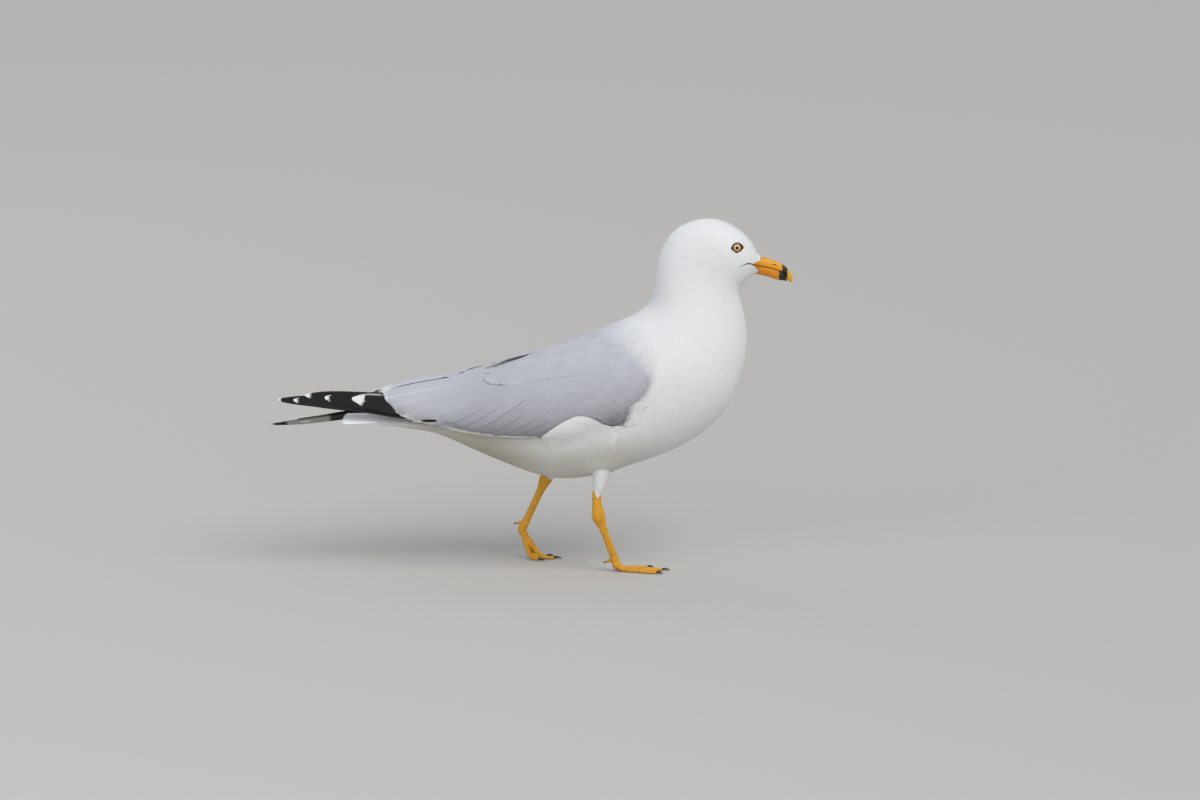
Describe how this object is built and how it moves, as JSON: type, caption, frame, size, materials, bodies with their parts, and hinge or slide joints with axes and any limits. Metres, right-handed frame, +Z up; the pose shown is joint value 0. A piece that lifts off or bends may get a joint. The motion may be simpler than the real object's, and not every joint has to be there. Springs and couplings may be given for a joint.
{
  "type": "ring-billed gull",
  "caption": "Life-size adult ring-billed gull, walking: white head and underparts, folded grey wings with black tips over a white tail, one webbed foot flat and the other pushing off.",
  "frame": {"origin": "on the floor under the middle of the bird's bounding box", "axes": "+X forward towards the bill, +Y to the bird's left, +Z up"},
  "size_m": [0.5082, 0.1192, 0.3449],
  "materials": {
    "plumage_white": "matt white feathers",
    "plumage_grey": "matt pale grey feathers",
    "plumage_black": "black-brown flight feathers with white spots near the tips",
    "eye": "glossy, pale yellow iris",
    "bill": "horn, orange-yellow with a black ring",
    "bare_leg": "scaly skin, yellow",
    "claw": "horn, black"
  },
  "bodies": {
    "root": {"head": "plumage_white", "neck": "plumage_white", "trunk": "plumage_white", "eye_right": "eye", "eye_left": "eye", "bill_upper": "bill", "bill_lower": "bill", "tail": "plumage_white", "wing_right": "plumage_grey", "wing_left": "plumage_grey", "primaries_right": "plumage_black", "primaries_left": "plumage_black", "thigh_right": "plumage_white", "shank_right": "bare_leg", "foot_right": "bare_leg", "claw_right_hind": "claw", "claw_right_inner": "claw", "claw_right_middle": "claw", "claw_right_outer": "claw", "thigh_left": "plumage_white", "shank_left": "bare_leg", "foot_left": "bare_leg", "claw_left_hind": "claw", "claw_left_inner": "claw", "claw_left_middle": "claw", "claw_left_outer": "claw"}
  },
  "joints": []
}
